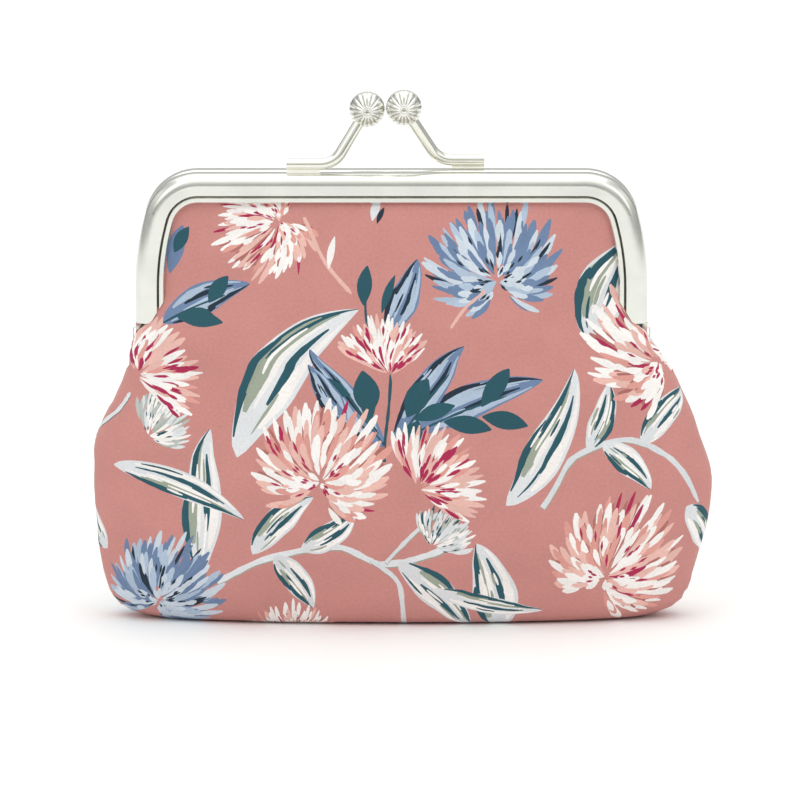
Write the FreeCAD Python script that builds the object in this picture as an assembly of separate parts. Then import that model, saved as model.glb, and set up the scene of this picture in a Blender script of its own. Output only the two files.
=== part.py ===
"""A kiss-lock coin purse: two hinged metal frame halves that grip a soft, lined fabric pouch.

Frame: X to the right, Y towards the back, Z up. The origin is the middle of the flat base, so the
purse stands on Z = 0. Every length is in millimetres.

The two frame halves swing on one axis through both rivets, the front half forward and the back
half backward. The fabric above that axis is gripped by the frame and swings with it. The fabric
below stays as the pouch. Each fabric layer is therefore one upper and one lower solid.
"""
import FreeCAD
import Part
import math
import os
from FreeCAD import Vector

# ---- Driving dimensions ----------------------------------------------------------------------
FRAME_WIDTH = 85.0  # outside width of each frame half
FRAME_TOP = 75.0  # height of the frame's top face above the base
FRAME_CORNER = 9.0  # outside radius of the frame's two upper corners
FRAME_SHOULDER = 45.0  # slacker outside radius that leads from each corner into the arm
SHOULDER_TURN = 16.0  # degrees of that slack bend
HINGE_HEIGHT = 47.0  # height of the axis through both rivets
PARTING = 0.3  # gap between the closed halves

CHANNEL_DEPTH = 4.8  # how far each lip reaches inwards from the frame's outer edge
CHANNEL_THICKNESS = 4.4  # front to back, over both lips
FRAME_SHEET = 0.6  # plate that the channel is stamped from
FACE_ROUND = 1.9  # outside radius between the web and the lip that shows
PARTING_ROUND = 0.9  # outside radius between the web and the hidden lip
LIP_CRIMP = 0.35  # how far the inner side of the showing lip is pressed onto the fabric
LIP_STEP = 1.3  # width of that pressed strip
LIP_ROLL = 0.85  # width of the rolled edge of the showing lip
ROLL_SUNK = 0.1  # how far the rolled edge lies behind the lip's face
ROLL_BEVEL = 0.2  # bevel along the free side of the rolled edge
GROOVE_WIDTH = 0.42  # groove between the rolled edge and the face of the lip
GROOVE_DEPTH = 0.74
CHANNEL_END = HINGE_HEIGHT + 3.0  # height where the arms stop and only the ears go on
SLANT_HEIGHT = 3.9  # each arm's lower end is cut on a slant, where the cloth leaves it
SLANT_WIDTH = 2.4

EAR_RADIUS = 2.5
EAR_FLANK = 15.0  # degrees below the horizontal where each ear's round end starts
EAR_GAP = 0.1  # play between the two ears on one rivet
RIVET_RADIUS = 0.8
RIVET_PLAY = 0.05
RIVET_HEAD_RADIUS = 1.7
RIVET_HEAD_HEIGHT = 0.5
RIVET_HEAD_ROUND = 0.35
RIVET_TAIL_RADIUS = 1.45

ROD_RADIUS = 0.95  # the clasp arms are bent from round rod
ROD_SUNK = 0.15  # how deep each foot lies in its seat
SEAT_HEIGHT = 0.65  # narrow seat between each foot and the frame's top
SEAT_WIDTH = 1.1
FOOT_END = 16.4  # distance of each foot's outer end from the middle of the clasp
CLASP_MIDDLE = -1.0  # the clasp is soldered on a little left of the frame's middle
ARM_RISE = 59.0  # degrees between the foot and the upright
ARM_BEND = 4.0  # bend radius of the rod's centreline
BALL_RADIUS = 3.0
BALL_HEIGHT = FRAME_TOP + 10.4  # mean height of the two balls' centres
BALL_STAGGER = 0.4  # the back ball stands this much higher than the front one
BALL_GAP = 0.1  # the balls pass each other this far apart
BALL_CROSSING = 0.35  # how far each closed ball stands past the parting plane
DIMPLE_RADIUS = 0.6  # conical dimple in each ball's front and back
DIMPLE_TIP = 0.1
DIMPLE_RIM = 0.05  # how far the cone's wide end lies outside the ball
SPIGOT_DEPTH = 1.6  # how far the rod goes into the ball

CORD_RADIUS = 0.75  # paper cord that wedges the cloth in the channel
CORD_INSET = 1.55  # from the frame's outer edge to the middle of the cord

CLOTH = 0.7  # printed outer cloth
FLEECE = 1.0  # padding
LINING = 0.35
LAYER_GAP = 0.05
CLOTH_INSET = 2.7  # the cloth's edge in the channel, from the frame's outer edge
FLAT_STRIP = 1.9  # the cloth stays flat this far in from the lips
UPPER_END = HINGE_HEIGHT + 7.8  # lowest edge of the padded cloth that swings with the frame
UPPER_BULGE = 4.5  # how far that cloth swells in front of the channel at its lowest edge
LINING_END = HINGE_HEIGHT - 1.0  # the lining carries on down and hangs inside the pouch's rim
LINING_REACH = 7.6  # distance of the hanging lining's outer side from the parting plane
LINING_HANG = HINGE_HEIGHT + 1.0  # the lining hangs straight down from here
SWELL_SECTIONS = 4
SWELL_LEAST = 0.02

POUCH_TOP = HINGE_HEIGHT - 0.5
NOTCH_RADIUS = 6.2  # the pouch's rim is notched round each hinge, for the arms' lower ends
NOTCH_INSET = 3.0  # how far each notch reaches in from the frame's outer edge
SEAM_GAP = 0.4  # between the front and back lower solids, where the seam runs
THREAD = 0.3
# The pouch's outside: height, half width, half depth, and half depth at the side seam.
POUCH_LEVELS = [
    (0.0, 43.0, 9.0, 7.0),
    (3.0, 47.4, 11.2, 6.8),
    (9.0, 49.8, 12.4, 5.8),
    (18.0, 51.3, 13.2, 4.6),
    (25.0, 51.6, 13.5, 4.2),
    (33.0, 49.4, 13.4, 4.0),
    (40.0, 46.0, 12.7, 4.1),
    (POUCH_TOP, 43.6, 11.6, 4.4),
]

# ---- Values that follow from them ------------------------------------------------------------
HALF_WIDTH = FRAME_WIDTH / 2
INNER_FACE = PARTING / 2  # distance of a half's hidden lip from the parting plane
OUTER_FACE = INNER_FACE + CHANNEL_THICKNESS
SHOULDER_EXTRA = FRAME_SHOULDER - FRAME_CORNER  # between the centres of the two bends
TURN = math.radians(SHOULDER_TURN)
CORNER_OFFSET = HALF_WIDTH - FRAME_SHOULDER + SHOULDER_EXTRA * math.cos(TURN)
CORNER_HEIGHT = FRAME_TOP - FRAME_CORNER
SHOULDER_OFFSET = HALF_WIDTH - FRAME_SHOULDER
SHOULDER_HEIGHT = CORNER_HEIGHT - SHOULDER_EXTRA * math.sin(TURN)
BALL_OFFSET = BALL_RADIUS + BALL_GAP / 2
LIP_EDGE = HALF_WIDTH - CHANNEL_DEPTH
LIP_HEIGHT = FRAME_TOP - CHANNEL_DEPTH
X_AXIS, Y_AXIS, Z_AXIS = Vector(1, 0, 0), Vector(0, 1, 0), Vector(0, 0, 1)
ORIGIN = Vector(0, 0, 0)
SPARE = 1.0  # how far a cutting solid runs past what it cuts
TOLERANCE = 1e-6


def arc(start, middle, end):
    return Part.Arc(Vector(*start), Vector(*middle), Vector(*end)).toShape()


def line(start, end):
    return Part.LineSegment(Vector(*start), Vector(*end)).toShape()


def mirrored(shape, axis):
    return shape.mirror(ORIGIN, axis)


def slab(low, high):
    """A box from its lowest to its highest corner."""
    size = [b - a for a, b in zip(low, high)]
    return Part.makeBox(*size, Vector(*low))


# ---- Frame halves ----------------------------------------------------------------------------
def quarter(centre, radius, first, last):
    """Arc in the plan of the right arm, about (x, y), between two directions in degrees."""
    turns = [math.radians(a) for a in (first, (first + last) / 2, last)]
    return arc(*[(centre[0] + radius * math.cos(t), centre[1] + radius * math.sin(t), 0) for t in turns])


def channel_section():
    """Section of the front half's right arm at Z = 0: a channel that opens towards the middle."""
    out, face, hidden = HALF_WIDTH, -OUTER_FACE, -INNER_FACE
    web = out - FRAME_SHEET
    face_in, hidden_in = face + FRAME_SHEET, hidden - FRAME_SHEET
    face_round_in, hidden_round_in = FACE_ROUND - FRAME_SHEET, PARTING_ROUND - FRAME_SHEET
    face_centre = (out - FACE_ROUND, face + FACE_ROUND)
    hidden_centre = (out - PARTING_ROUND, hidden - PARTING_ROUND)
    groove = LIP_EDGE + LIP_ROLL
    pressed = LIP_EDGE + LIP_STEP
    points = [
        (LIP_EDGE, face + ROLL_SUNK + ROLL_BEVEL, 0),
        (LIP_EDGE + ROLL_BEVEL, face + ROLL_SUNK, 0),
        (groove, face + ROLL_SUNK, 0),
        (groove + GROOVE_WIDTH / 2, face + GROOVE_DEPTH, 0),
        (groove + GROOVE_WIDTH, face, 0),
        (face_centre[0], face, 0),
    ]
    edges = [line(a, b) for a, b in zip(points, points[1:])]
    edges.append(quarter(face_centre, FACE_ROUND, -90, 0))
    edges.append(line((out, face_centre[1], 0), (out, hidden_centre[1], 0)))
    edges.append(quarter(hidden_centre, PARTING_ROUND, 0, 90))
    edges.append(line((hidden_centre[0], hidden, 0), (LIP_EDGE, hidden, 0)))
    edges.append(line((LIP_EDGE, hidden, 0), (LIP_EDGE, hidden_in, 0)))
    edges.append(line((LIP_EDGE, hidden_in, 0), (web - hidden_round_in, hidden_in, 0)))
    edges.append(quarter(hidden_centre, hidden_round_in, 90, 0))
    edges.append(line((web, hidden_centre[1], 0), (web, face_centre[1], 0)))
    edges.append(quarter(face_centre, face_round_in, 0, -90))
    inner_points = [
        (face_centre[0], face_in, 0),
        (pressed + LIP_CRIMP, face_in, 0),
        (pressed, face_in + LIP_CRIMP, 0),
        (LIP_EDGE, face_in + LIP_CRIMP, 0),
        (LIP_EDGE, face + ROLL_SUNK + ROLL_BEVEL, 0),
    ]
    edges += [line(a, b) for a, b in zip(inner_points, inner_points[1:])]
    return Part.Face(Part.Wire(edges))


def along_frame(section, start):
    """Runs a section of the right arm, drawn at Z = 0, round the frame on both sides."""
    shoulder_centre = Vector(SHOULDER_OFFSET, 0, SHOULDER_HEIGHT)
    corner_centre = Vector(CORNER_OFFSET, 0, CORNER_HEIGHT)
    corner_turn = 90 - SHOULDER_TURN
    arm = section.translated(Vector(0, 0, start)).extrude(Vector(0, 0, SHOULDER_HEIGHT - start))
    at_shoulder = section.translated(Vector(0, 0, SHOULDER_HEIGHT))
    shoulder = at_shoulder.revolve(shoulder_centre, Y_AXIS, -SHOULDER_TURN)
    at_corner = at_shoulder.rotated(shoulder_centre, Y_AXIS, -SHOULDER_TURN)
    corner = at_corner.revolve(corner_centre, Y_AXIS, -corner_turn)
    on_top = at_corner.rotated(corner_centre, Y_AXIS, -corner_turn)
    bar = on_top.extrude(Vector(-2 * CORNER_OFFSET, 0, 0))
    right = [arm, shoulder, corner]
    left = [mirrored(stretch, X_AXIS) for stretch in right]
    return bar.fuse(right + left).removeSplitter()


def ear(inner, outer):
    """One front ear, between two distances from the middle, from its round end up to the channel."""
    hinge = (0, HINGE_HEIGHT)
    ends = [math.radians(a) for a in (180 + EAR_FLANK, 270 + EAR_FLANK, EAR_FLANK)]
    low, bottom, high = [
        (inner, hinge[0] + EAR_RADIUS * math.cos(t), hinge[1] + EAR_RADIUS * math.sin(t)) for t in ends
    ]
    shoulder_front = (inner, -OUTER_FACE + FACE_ROUND / 2, CHANNEL_END)
    shoulder_back = (inner, -INNER_FACE - PARTING_ROUND / 2, CHANNEL_END)
    edges = [
        line(shoulder_front, low),
        arc(low, bottom, high),
        line(high, shoulder_back),
        line(shoulder_back, shoulder_front),
    ]
    return Part.Face(Part.Wire(edges)).extrude(Vector(outer - inner, 0, 0))


def rivet_hole():
    hole = Part.makeCylinder(RIVET_RADIUS + RIVET_PLAY, 4 * EAR_RADIUS, Vector(0, 0, HINGE_HEIGHT), X_AXIS)
    return hole.translated(Vector(HALF_WIDTH - 2 * EAR_RADIUS, 0, 0))


def slant():
    """What is cut off the lower end of the right arm's lips."""
    corners = [
        (LIP_EDGE, 0, CHANNEL_END + SLANT_HEIGHT),
        (LIP_EDGE, 0, CHANNEL_END),
        (LIP_EDGE + SLANT_WIDTH, 0, CHANNEL_END),
    ]
    edges = [line(a, b) for a, b in zip(corners, corners[1:] + corners[:1])]
    return Part.Face(Part.Wire(edges)).extrude(Vector(0, -2 * OUTER_FACE, 0))


def frame_half(ears):
    """A front half: its channel and its two ears, both made for the right and mirrored."""
    right = ears.cut(rivet_hole())
    channel = along_frame(channel_section(), CHANNEL_END)
    channel = channel.cut([slant(), mirrored(slant(), X_AXIS)])
    return channel.fuse([right, mirrored(right, X_AXIS)]).removeSplitter()


def front_frame():
    """Its ears carry straight on from the web, so they lie outside the back half's."""
    return frame_half(ear(HALF_WIDTH - FRAME_SHEET, HALF_WIDTH))


def back_frame():
    """Its ears are set inwards by a plate and spread over the inside of the web."""
    web = HALF_WIDTH - FRAME_SHEET
    outer = web - EAR_GAP
    ear_plate = ear(outer - FRAME_SHEET, outer)
    overlap = slab(
        (outer - FRAME_SHEET, -OUTER_FACE + FACE_ROUND, CHANNEL_END - FRAME_SHEET),
        (web, -INNER_FACE - PARTING_ROUND, CHANNEL_END + EAR_RADIUS),
    )
    return mirrored(frame_half(ear_plate.fuse(overlap)), Y_AXIS)


def rivet():
    """The right rivet: its shank and a head on each side of the two ears."""
    outside = HALF_WIDTH + EAR_GAP / 2
    inside = HALF_WIDTH - 2 * FRAME_SHEET - EAR_GAP - EAR_GAP / 2

    def round_bar(radius, start, length):
        return Part.makeCylinder(radius, length, Vector(start, 0, HINGE_HEIGHT), X_AXIS)

    head = round_bar(RIVET_HEAD_RADIUS, outside, RIVET_HEAD_HEIGHT)
    top = outside + RIVET_HEAD_HEIGHT
    rim = [e for e in head.Edges if e.BoundBox.XMin > top - TOLERANCE]
    head = head.makeFillet(RIVET_HEAD_ROUND, rim)
    tail = round_bar(RIVET_TAIL_RADIUS, inside - RIVET_HEAD_HEIGHT, RIVET_HEAD_HEIGHT)
    shank_start = inside - RIVET_HEAD_HEIGHT / 2
    shank = round_bar(RIVET_RADIUS, shank_start, outside - shank_start)
    return head.fuse([tail, shank]).removeSplitter()


# ---- Kiss lock -------------------------------------------------------------------------------
def clasp(ball_height):
    """The front half's arm, on the left, and its ball, about the middle of the clasp."""
    foot_y = -(INNER_FACE + OUTER_FACE) / 2
    seat_top = FRAME_TOP + SEAT_HEIGHT
    foot_z = seat_top + ROD_RADIUS - ROD_SUNK
    rise, run = ball_height - foot_z, BALL_CROSSING - foot_y
    lean = math.degrees(math.atan2(run, rise))
    length = math.hypot(rise, run)
    angle = math.radians(ARM_RISE)
    ball = Vector(-BALL_OFFSET, foot_y, foot_z + length)
    along_arm = Vector(math.cos(angle), 0, math.sin(angle))
    knee_x = -BALL_OFFSET - length / math.tan(angle)
    tangent = ARM_BEND * math.tan(angle / 2)
    foot_start = Vector(-FOOT_END, foot_y, foot_z)
    bend_start = Vector(knee_x - tangent, foot_y, foot_z)
    bend_centre = bend_start + Vector(0, 0, ARM_BEND)
    bend_end = Vector(knee_x, foot_y, foot_z) + along_arm * tangent
    arm_end = ball - along_arm * (BALL_RADIUS - SPIGOT_DEPTH)

    def disc(at, direction):
        return Part.Face(Part.Wire(Part.makeCircle(ROD_RADIUS, at, direction)))

    foot = disc(foot_start, X_AXIS).extrude(bend_start - foot_start)
    bend = disc(bend_start, X_AXIS).revolve(bend_centre, Y_AXIS, -ARM_RISE)
    upright = disc(bend_end, along_arm).extrude(arm_end - bend_end)
    rod = foot.fuse([bend, upright]).removeSplitter()
    rod.rotate(foot_start, X_AXIS, -lean)
    seat = slab(
        (-FOOT_END, foot_y - SEAT_WIDTH / 2, FRAME_TOP),
        (bend_start.x, foot_y + SEAT_WIDTH / 2, seat_top),
    )
    rod = rod.fuse(seat).removeSplitter()

    centre = Vector(-BALL_OFFSET, BALL_CROSSING, ball_height)
    knob = Part.makeSphere(BALL_RADIUS, centre)
    for side in (-1, 1):
        base = centre + Vector(0, side * (BALL_RADIUS + DIMPLE_RIM), 0)
        inwards = Vector(0, -side, 0)
        knob = knob.cut(Part.makeCone(DIMPLE_RADIUS, DIMPLE_TIP, DIMPLE_RADIUS, base, inwards))
    return rod, knob.cut(rod)


# ---- Cloth that the frame grips --------------------------------------------------------------
def frame_line(inset, low, y):
    """The frame's outer outline moved inwards, as an open wire from arm to arm, down to a height."""
    side, top = HALF_WIDTH - inset, FRAME_TOP - inset

    def bend(centre_x, centre_z, radius, first, last):
        turns = [first, (first + last) / 2, last]
        return arc(*[(centre_x + radius * math.cos(t), y, centre_z + radius * math.sin(t)) for t in turns])

    right = [
        line((side, y, low), (side, y, SHOULDER_HEIGHT)),
        bend(SHOULDER_OFFSET, SHOULDER_HEIGHT, FRAME_SHOULDER - inset, 0, TURN),
        bend(CORNER_OFFSET, CORNER_HEIGHT, FRAME_CORNER - inset, TURN, math.pi / 2),
    ]
    bar = line((CORNER_OFFSET, y, top), (-CORNER_OFFSET, y, top))
    left = [mirrored(edge, X_AXIS) for edge in reversed(right)]
    return Part.Wire(right + [bar] + left)


def frame_outline(inset, low):
    """A prism through both halves, inside the frame's outer outline moved inwards."""
    side, y = HALF_WIDTH - inset, -2 * OUTER_FACE
    below = line((side, y, low), (-side, y, low))
    outline = Part.Wire(frame_line(inset, low, y).Edges + [below])
    return Part.Face(outline).extrude(Vector(0, -2 * y, 0))


def swelling(bulge):
    """Heights of a padded layer's sections and how far each swells: most at the lower edge."""
    rise = LIP_HEIGHT - UPPER_END
    shares = [i / SWELL_SECTIONS for i in range(SWELL_SECTIONS + 1)]
    return [(UPPER_END + share * rise, max(bulge * (1 - share**2), SWELL_LEAST)) for share in shares]


def upper_layer(face, thickness, levels):
    """A front layer in the frame: flat where the channel grips it, swollen between the lips.

    face is the distance of its outer side from the parting plane where it is flat. levels holds
    the height and the swell of each section, from the lowest up.
    """
    grip, edge = HALF_WIDTH - CLOTH_INSET, LIP_EDGE - FLAT_STRIP

    def section(z, swell):
        outer, inner = -face, -face + thickness
        edges = [
            line((-grip, outer, z), (-edge, outer, z)),
            arc((-edge, outer, z), (0, outer - swell, z), (edge, outer, z)),
            line((edge, outer, z), (grip, outer, z)),
            line((grip, outer, z), (grip, inner, z)),
            line((grip, inner, z), (edge, inner, z)),
            arc((edge, inner, z), (0, inner - swell, z), (-edge, inner, z)),
            line((-edge, inner, z), (-grip, inner, z)),
            line((-grip, inner, z), (-grip, outer, z)),
        ]
        return Part.Wire(edges)

    swollen = Part.makeLoft([section(*level) for level in levels], True, False)
    gripped = slab((-grip, -face, LIP_HEIGHT), (grip, -face + thickness, FRAME_TOP - CLOTH_INSET))
    lowest = levels[0][0]
    return swollen.fuse(gripped).common(frame_outline(CLOTH_INSET, lowest - SPARE))


def paper_cord():
    """The cord in the front half's channel, round its top and down both arms."""
    low = CHANNEL_END + EAR_RADIUS
    middle = -(INNER_FACE + OUTER_FACE) / 2
    path = frame_line(CORD_INSET, low, middle)
    circle = Part.makeCircle(CORD_RADIUS, Vector(HALF_WIDTH - CORD_INSET, middle, low), -Z_AXIS)
    return path.makePipeShell([Part.Wire(circle)], True, False)


# ---- Pouch below the hinges ------------------------------------------------------------------
def pouch_body(inset):
    """The pouch's solid outer shape, moved inwards. An inset one runs out of the top, to be cut away."""

    def section(z, half_width, half_depth, side_depth):
        a, b, s = half_width - inset, half_depth - inset, side_depth - inset
        edges = [
            arc((-a, -s, z), (0, -b, z), (a, -s, z)),
            line((a, -s, z), (a, s, z)),
            arc((a, s, z), (0, b, z), (-a, s, z)),
            line((-a, s, z), (-a, -s, z)),
        ]
        return Part.Wire(edges)

    sections = [section(max(z, inset), *level) for z, *level in POUCH_LEVELS]
    body = Part.makeLoft(sections, True, False)
    if inset:
        top = section(POUCH_TOP, *POUCH_LEVELS[-1][1:])
        body = body.fuse(Part.Face(top).extrude(Vector(0, 0, SPARE)))
    return body


def hinge_notches():
    """The room that the arms' lower ends, the ears and the rivets need in the pouch's rim."""
    start = HALF_WIDTH - NOTCH_INSET
    right = Part.makeCylinder(NOTCH_RADIUS, HALF_WIDTH, Vector(start, 0, HINGE_HEIGHT), X_AXIS)
    return right.fuse(mirrored(right, X_AXIS))


def lower_layers(inset, thickness):
    """Front and back halves of one layer of the pouch, and what lies in the seam between them."""
    wall = pouch_body(inset).cut(pouch_body(inset + thickness))
    reach = 2 * HALF_WIDTH
    below_rim = slab((-reach, -reach, -SPARE), (reach, reach, POUCH_TOP))
    wall = wall.common(below_rim).cut(hinge_notches())
    front = wall.common(slab((-reach, -reach, -SPARE), (reach, -SEAM_GAP / 2, POUCH_TOP)))
    between = wall.common(slab((-reach, -THREAD / 2, -SPARE), (reach, THREAD / 2, POUCH_TOP)))
    return front, mirrored(front, Y_AXIS), between


def seam_threads(between):
    """The thread of each side seam and of the seam along the base."""
    base_end, base_top = POUCH_LEVELS[0][1], CLOTH
    reach = 2 * HALF_WIDTH
    bottom = between.common(slab((-base_end, -reach, -SPARE), (base_end, reach, base_top)))
    right = between.common(slab((base_end, -reach, base_top / 2), (reach, reach, POUCH_TOP)))
    return mirrored(right, X_AXIS), right, bottom


# ---- Every piece by name ---------------------------------------------------------------------
def both_halves(name, shape):
    """A front piece and its mirror image in the back half."""
    return {f"front_{name}": shape, f"back_{name}": mirrored(shape, Y_AXIS)}


def build():
    right_rivet = rivet()
    pieces = {
        "front_frame": front_frame(),
        "back_frame": back_frame(),
        "left_hinge_rivet": mirrored(right_rivet, X_AXIS),
        "right_hinge_rivet": right_rivet,
    }
    for side, turn, stagger in (("front", 0, -BALL_STAGGER / 2), ("back", 180, BALL_STAGGER / 2)):
        for name, piece in zip(("arm", "ball"), clasp(BALL_HEIGHT + stagger)):
            turned = piece.rotated(ORIGIN, Z_AXIS, turn)
            pieces[f"{side}_clasp_{name}"] = turned.translated(Vector(CLASP_MIDDLE, 0, 0))
    pieces.update(both_halves("paper_cord", paper_cord()))

    cloth_face = OUTER_FACE - FRAME_SHEET - LIP_CRIMP - LAYER_GAP
    fleece_face = cloth_face - CLOTH - LAYER_GAP
    lining_face = INNER_FACE + FRAME_SHEET + LAYER_GAP + LINING
    lining_bulge = fleece_face + UPPER_BULGE - FLEECE - LAYER_GAP - lining_face
    hanging = [(z, LINING_REACH - lining_face) for z in (LINING_END, LINING_HANG)]
    padded_levels = swelling(UPPER_BULGE)
    lining_levels = hanging + swelling(lining_bulge)
    pieces.update(both_halves("panel_upper", upper_layer(cloth_face, CLOTH, padded_levels)))
    pieces.update(both_halves("padding_upper", upper_layer(fleece_face, FLEECE, padded_levels)))
    pieces.update(both_halves("lining_upper", upper_layer(lining_face, LINING, lining_levels)))

    inset = 0.0
    for name, thickness in (("panel", CLOTH), ("padding", FLEECE), ("lining", LINING)):
        front, back, between = lower_layers(inset, thickness)
        pieces[f"front_{name}_lower"] = front
        pieces[f"back_{name}_lower"] = back
        if name == "panel":
            threads = seam_threads(between)
            pieces.update(zip(("left_seam_thread", "right_seam_thread", "bottom_seam_thread"), threads))
        inset += thickness + LAYER_GAP
    return pieces


os.makedirs("parts", exist_ok=True)
for node, shape in build().items():
    solids = shape.Solids
    whole = solids[0] if len(solids) == 1 else Part.makeCompound(solids)
    print(f"{node}: {len(solids)} solid(s), valid {whole.isValid()}, {whole.Volume:.1f} mm3")
    whole.exportStep(f"parts/{node}.step")
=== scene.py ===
"""A kiss-lock coin purse: floral cloth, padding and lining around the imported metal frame.

Lengths are worked out in millimetres and meshes are made in metres, in the frame's own axes: X to the
right, Y to the back, Z up, with the purse standing on Z = 0.
"""
import math
import random

import bpy
import numpy as np
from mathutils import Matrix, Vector
from mathutils.geometry import delaunay_2d_cdt


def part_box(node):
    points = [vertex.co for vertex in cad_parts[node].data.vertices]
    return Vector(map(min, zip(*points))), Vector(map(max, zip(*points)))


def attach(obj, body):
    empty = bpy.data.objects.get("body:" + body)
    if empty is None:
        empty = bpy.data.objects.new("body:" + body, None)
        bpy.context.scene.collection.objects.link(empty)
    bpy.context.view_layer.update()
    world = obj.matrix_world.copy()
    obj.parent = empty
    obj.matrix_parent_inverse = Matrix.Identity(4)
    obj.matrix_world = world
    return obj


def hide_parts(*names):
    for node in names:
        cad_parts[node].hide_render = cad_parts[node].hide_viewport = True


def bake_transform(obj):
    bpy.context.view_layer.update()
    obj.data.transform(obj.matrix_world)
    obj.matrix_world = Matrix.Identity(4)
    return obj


MM = 0.001
TINY = 1e-9  # least length to divide by
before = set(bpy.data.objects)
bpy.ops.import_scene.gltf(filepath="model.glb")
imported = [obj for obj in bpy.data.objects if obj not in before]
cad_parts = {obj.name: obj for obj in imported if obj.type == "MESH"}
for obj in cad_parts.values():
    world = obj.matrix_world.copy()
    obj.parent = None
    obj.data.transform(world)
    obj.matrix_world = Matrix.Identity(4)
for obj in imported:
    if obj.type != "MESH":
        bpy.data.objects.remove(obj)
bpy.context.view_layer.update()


def millimetres(node):
    """The lowest and highest corner of a CAD node."""
    return [[value / MM for value in corner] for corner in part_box(node)]


# ---- Sizes of the cloth, in millimetres ----
PRINT_CELL = 1.6  # spacing of the points that let the printed cloth follow its curves
COLUMNS = 81  # points of the cloth from side to side
ROWS = 76  # and from the channel to the seam in the base
ACROSS = np.linspace(-1, 1, COLUMNS)[None, :]  # where each column lies, as a share of the half width
PADDING_INSET = 0.9
PADDING_THICKNESS = 1.0
PADDING_SWELL = 0.9  # share of the outer cloth's swelling
LINING_INSET = 2.35
LINING_SWELL = 0.85
BASE_LIFT_RANGE = 4.0  # inner layers are lifted off the base below this height

# The outer cloth's front half, from the channel down to the seam in the base: height, depth in the
# middle, half width and depth where the cloth turns back at its side, half width and depth of its edge.
CLOTH_LEVELS = [
    (72.2, 3.45, 29.0, 3.45, 32.0, 3.40),
    (70.4, 3.50, 31.5, 3.50, 36.2, 3.40),
    (69.6, 4.20, 33.4, 3.50, 37.2, 3.40),
    (68.0, 5.30, 35.6, 3.50, 38.0, 3.40),
    (66.0, 6.10, 36.4, 3.50, 38.5, 3.40),
    (62.0, 7.20, 37.2, 3.50, 39.3, 3.40),
    (56.0, 8.60, 37.6, 3.55, 39.8, 3.40),
    (53.8, 9.10, 37.9, 4.00, 39.9, 3.30),
    (51.5, 9.60, 38.9, 4.70, 40.0, 3.20),
    (50.2, 9.90, 39.9, 5.00, 40.3, 3.10),
    (49.4, 10.0, 41.5, 5.25, 40.4, 3.00),
    (48.2, 10.3, 42.5, 5.40, 40.4, 2.80),
    (46.6, 10.5, 43.0, 5.30, 40.4, 2.40),
    (45.0, 10.9, 43.6, 4.70, 40.7, 1.30),
    (43.4, 11.3, 44.3, 3.60, 42.2, 0.00),
    (41.0, 11.8, 45.6, 2.80, 45.0, 0.00),
    (37.3, 12.2, 47.2, 2.50, 46.7, 0.00),
    (33.5, 12.4, 49.1, 2.40, 48.6, 0.00),
    (28.0, 12.6, 50.9, 2.30, 50.4, 0.00),
    (23.0, 12.6, 51.5, 2.30, 51.0, 0.00),
    (15.5, 12.2, 50.8, 2.30, 50.3, 0.00),
    (9.0, 11.6, 49.5, 2.30, 49.0, 0.00),
    (5.0, 11.0, 48.4, 2.20, 47.9, 0.00),
    (2.4, 10.3, 46.8, 2.00, 46.3, 0.00),
    (0.8, 9.30, 44.0, 1.70, 43.6, 0.00),
    (0.0, 7.60, 41.0, 1.40, 40.6, 0.00),
    (0.0, 3.80, 39.8, 0.70, 39.6, 0.00),
    (0.0, 0.05, 39.0, 0.02, 38.9, 0.00),
]
# The pouch sags a little to the right: heights, and how far the cloth lies to that side.
SAG = [
    (0.0, 1.1), (10.0, 1.2), (17.0, 1.8), (24.0, 1.9), (30.0, 1.1),
    (37.0, 1.4), (42.0, 1.2), (46.0, 0.0), (50.0, 0.0),
]
GRIPPED_ABOVE = 53.8  # the cloth's edge is in the channel above this height
SEWN_BELOW = 43.4  # and in the side seam below this one
LEAST_DEPTH = 0.03  # an inner layer stays this far from the purse's middle plane
LEAST_TURN = 0.02  # and so does the place where it turns back
LEAST_STEP = 0.05  # least distance of two levels along the cloth

# A level section: the points of its front and of its return to the edge, the powers that make its
# front fuller than an ellipse, and where the return's control point lies
FRONT_POINTS = 60
RETURN_POINTS = 16
FULLNESS_X = 0.86
FULLNESS_Y = 1.12
RETURN_OUT = 0.2
RETURN_SHARE = 0.35


def linear(*rgb):
    """An sRGB colour of 0 to 255 as linear values."""
    values = [c / 255 for c in rgb]
    return tuple(c / 12.92 if c <= 0.04045 else ((c + 0.055) / 1.055) ** 2.4 for c in values)


GROUND = linear(205, 141, 135)
WHITE = linear(250, 244, 241)
BLUSH = linear(236, 188, 178)
ROSE = linear(226, 160, 150)
MAGENTA = linear(176, 44, 86)
DUSK = linear(178, 112, 106)
SLATE = linear(112, 134, 168)
MIST = linear(178, 194, 214)
ICE = linear(208, 217, 228)
TEAL = linear(44, 88, 100)
NIGHT = linear(38, 52, 66)
PALE = linear(224, 225, 228)
SAGE = linear(160, 168, 152)
ASH = linear(186, 190, 186)


# ---- Shape of the cloth ----
def smooth_through(at, xs, ys):
    """Monotone cubic curve through the points (xs, ys), at the values at."""
    xs, ys = np.asarray(xs, float), np.asarray(ys, float)
    steps, slopes = np.diff(xs), np.diff(ys) / np.diff(xs)
    before, after = slopes[:-1], slopes[1:]
    same_way = before * after > 0
    mean = np.where(same_way, 2 * before * after / np.where(same_way, before + after, 1), 0)
    tangents = np.concatenate([slopes[:1], mean, slopes[-1:]])
    i = np.clip(np.searchsorted(xs, at) - 1, 0, len(steps) - 1)
    k = (at - xs[i]) / steps[i]
    rise = ys[i] * (1 + 2 * k) * (1 - k) ** 2 + ys[i + 1] * k**2 * (3 - 2 * k)
    return rise + steps[i] * (tangents[i] * k * (1 - k) ** 2 - tangents[i + 1] * k**2 * (1 - k))


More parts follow.
